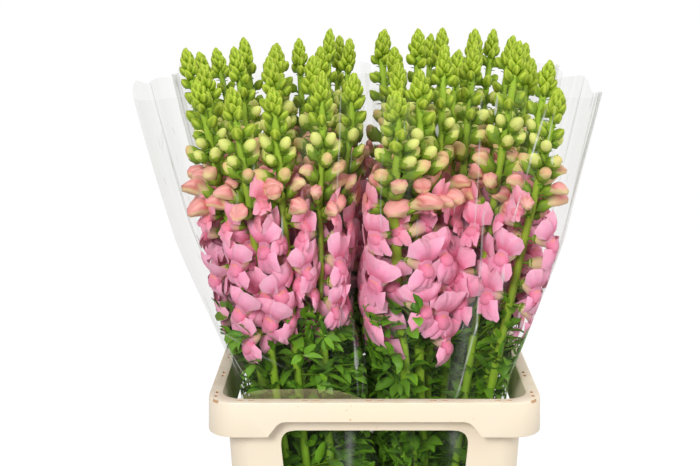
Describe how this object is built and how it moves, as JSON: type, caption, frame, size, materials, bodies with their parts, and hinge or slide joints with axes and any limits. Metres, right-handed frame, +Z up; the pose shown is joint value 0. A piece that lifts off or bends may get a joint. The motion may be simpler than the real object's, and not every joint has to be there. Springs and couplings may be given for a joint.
{
  "type": "bucket of cut snapdragons",
  "caption": "Cut pink snapdragons bunched in clear film sleeves, standing in a tall cream plastic flower bucket with an open-sided collar.",
  "frame": {"origin": "middle of the bucket's flat underside, which is also the middle of the whole object's footprint", "axes": "+Z up, -Y to the front, one of the container's two short sides, +X to the right"},
  "size_m": [0.42, 0.444, 0.8],
  "materials": {
    "container": "moulded cream plastic, satin",
    "water": "clear water",
    "rubber": "natural rubber band",
    "film": "clear glossy film",
    "green": "fresh stems, leaves and buds",
    "petal": "pink velvety petals"
  },
  "bodies": {
    "root": {"bucket": "container", "collar": "container", "water": "water", "band_front_left": "rubber", "sleeve_front_left": "film", "florets_front_left": "petal", "snapdragon_01": "green", "snapdragon_02": "green", "snapdragon_03": "green", "snapdragon_04": "green", "snapdragon_05": "green", "snapdragon_06": "green", "snapdragon_07": "green", "snapdragon_08": "green", "snapdragon_09": "green", "snapdragon_10": "green", "band_front_right": "rubber", "sleeve_front_right": "film", "florets_front_right": "petal", "snapdragon_11": "green", "snapdragon_12": "green", "snapdragon_13": "green", "snapdragon_14": "green", "snapdragon_15": "green", "snapdragon_16": "green", "snapdragon_17": "green", "snapdragon_18": "green", "snapdragon_19": "green", "snapdragon_20": "green", "band_back_left": "rubber", "sleeve_back_left": "film", "florets_back_left": "petal", "snapdragon_21": "green", "snapdragon_22": "green", "snapdragon_23": "green", "snapdragon_24": "green", "snapdragon_25": "green", "snapdragon_26": "green", "snapdragon_27": "green", "snapdragon_28": "green", "snapdragon_29": "green", "snapdragon_30": "green", "band_back_right": "rubber", "sleeve_back_right": "film", "florets_back_right": "petal", "snapdragon_31": "green", "snapdragon_32": "green", "snapdragon_33": "green", "snapdragon_34": "green", "snapdragon_35": "green", "snapdragon_36": "green", "snapdragon_37": "green", "snapdragon_38": "green", "snapdragon_39": "green", "snapdragon_40": "green"}
  },
  "joints": []
}
